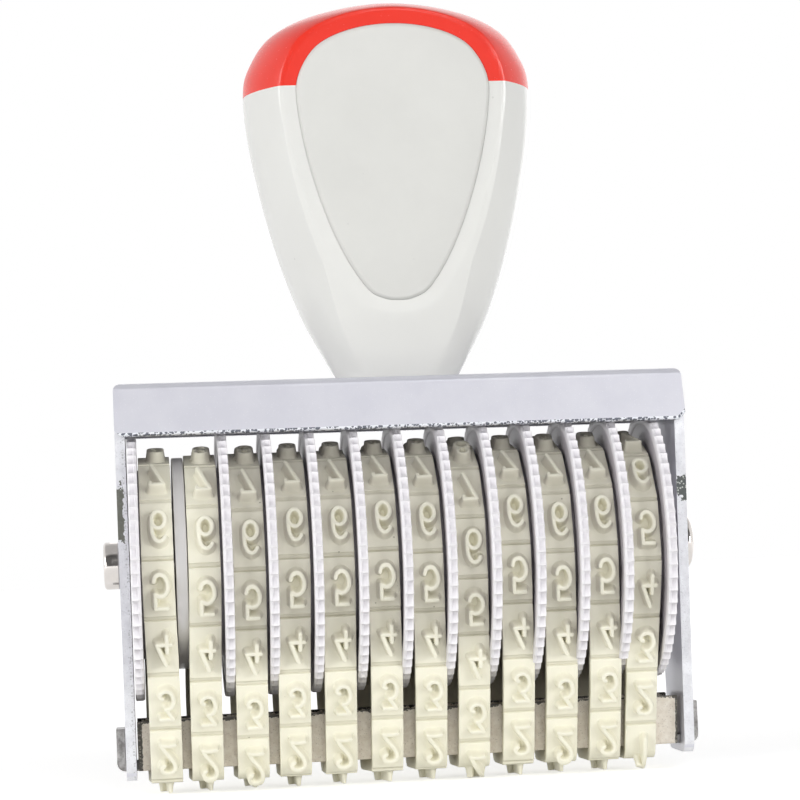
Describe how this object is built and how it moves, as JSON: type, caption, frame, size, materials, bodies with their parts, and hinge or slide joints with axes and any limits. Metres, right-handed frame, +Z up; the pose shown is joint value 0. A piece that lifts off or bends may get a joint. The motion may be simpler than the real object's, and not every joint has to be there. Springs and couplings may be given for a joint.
{
  "type": "numbering stamp",
  "caption": "Hand numbering stamp: a steel bracket with a row of thumbwheels and numeral bands looped over an anvil, under a flared handle.",
  "frame": {"origin": "under the middle of the stamp, on the plane of the type faces that it prints and stands with", "axes": "+X along the axle, -Y towards the side with the plate, +Z up through the handle"},
  "size_m": [0.0844, 0.0382, 0.1107],
  "materials": {
    "satin_steel": "satin nickel-plated sheet",
    "anvil_sheet": "matte, slightly rough",
    "bright_steel": "bright plated",
    "spring_steel": "plain spring steel",
    "disc_plastic": "smooth moulded",
    "wheel_plastic": "smooth moulded",
    "band_rubber": "matte moulded rubber",
    "handle_white": "glossy moulded",
    "cap_red": "glossy moulded",
    "plate_grey": "satin, bare"
  },
  "bodies": {
    "stamp": {"frame": "satin_steel", "anvil": "anvil_sheet", "axle_bolt": "bright_steel", "axle_nut": "bright_steel", "spring_washer": "spring_steel", "separator_disc": "disc_plastic", "band_1": "band_rubber", "band_2": "band_rubber", "band_3": "band_rubber", "band_4": "band_rubber", "band_5": "band_rubber", "band_6": "band_rubber", "band_7": "band_rubber", "band_8": "band_rubber", "band_9": "band_rubber", "band_10": "band_rubber", "band_11": "band_rubber", "band_12": "band_rubber", "handle_body": "handle_white", "handle_cap": "cap_red", "label_plate": "plate_grey", "handle_screw": "bright_steel", "screw_washer": "spring_steel"},
    "thumbwheel_1": {"wheel_1": "wheel_plastic"},
    "thumbwheel_2": {"wheel_2": "wheel_plastic"},
    "thumbwheel_3": {"wheel_3": "wheel_plastic"},
    "thumbwheel_4": {"wheel_4": "wheel_plastic"},
    "thumbwheel_5": {"wheel_5": "wheel_plastic"},
    "thumbwheel_6": {"wheel_6": "wheel_plastic"},
    "thumbwheel_7": {"wheel_7": "wheel_plastic"},
    "thumbwheel_8": {"wheel_8": "wheel_plastic"},
    "thumbwheel_9": {"wheel_9": "wheel_plastic"},
    "thumbwheel_10": {"wheel_10": "wheel_plastic"},
    "thumbwheel_11": {"wheel_11": "wheel_plastic"},
    "thumbwheel_12": {"wheel_12": "wheel_plastic"}
  },
  "joints": [
    {"name": "wheel_1_spin", "type": "hinge", "parent": "stamp", "child": "thumbwheel_1", "pos_m": [-0.0376, 0, 0.032], "axis": [1, 0, 0], "continuous": true},
    {"name": "wheel_2_spin", "type": "hinge", "parent": "stamp", "child": "thumbwheel_2", "pos_m": [-0.0254, 0, 0.032], "axis": [1, 0, 0], "continuous": true},
    {"name": "wheel_3_spin", "type": "hinge", "parent": "stamp", "child": "thumbwheel_3", "pos_m": [-0.0193, 0, 0.032], "axis": [1, 0, 0], "continuous": true},
    {"name": "wheel_4_spin", "type": "hinge", "parent": "stamp", "child": "thumbwheel_4", "pos_m": [-0.0132, 0, 0.032], "axis": [1, 0, 0], "continuous": true},
    {"name": "wheel_5_spin", "type": "hinge", "parent": "stamp", "child": "thumbwheel_5", "pos_m": [-0.0071, 0, 0.032], "axis": [1, 0, 0], "continuous": true},
    {"name": "wheel_6_spin", "type": "hinge", "parent": "stamp", "child": "thumbwheel_6", "pos_m": [-0.001, 0, 0.032], "axis": [1, 0, 0], "continuous": true},
    {"name": "wheel_7_spin", "type": "hinge", "parent": "stamp", "child": "thumbwheel_7", "pos_m": [0.0051, 0, 0.032], "axis": [1, 0, 0], "continuous": true},
    {"name": "wheel_8_spin", "type": "hinge", "parent": "stamp", "child": "thumbwheel_8", "pos_m": [0.0112, 0, 0.032], "axis": [1, 0, 0], "continuous": true},
    {"name": "wheel_9_spin", "type": "hinge", "parent": "stamp", "child": "thumbwheel_9", "pos_m": [0.0173, 0, 0.032], "axis": [1, 0, 0], "continuous": true},
    {"name": "wheel_10_spin", "type": "hinge", "parent": "stamp", "child": "thumbwheel_10", "pos_m": [0.0234, 0, 0.032], "axis": [1, 0, 0], "continuous": true},
    {"name": "wheel_11_spin", "type": "hinge", "parent": "stamp", "child": "thumbwheel_11", "pos_m": [0.0295, 0, 0.032], "axis": [1, 0, 0], "continuous": true},
    {"name": "wheel_12_spin", "type": "hinge", "parent": "stamp", "child": "thumbwheel_12", "pos_m": [0.0356, 0, 0.032], "axis": [1, 0, 0], "continuous": true}
  ]
}
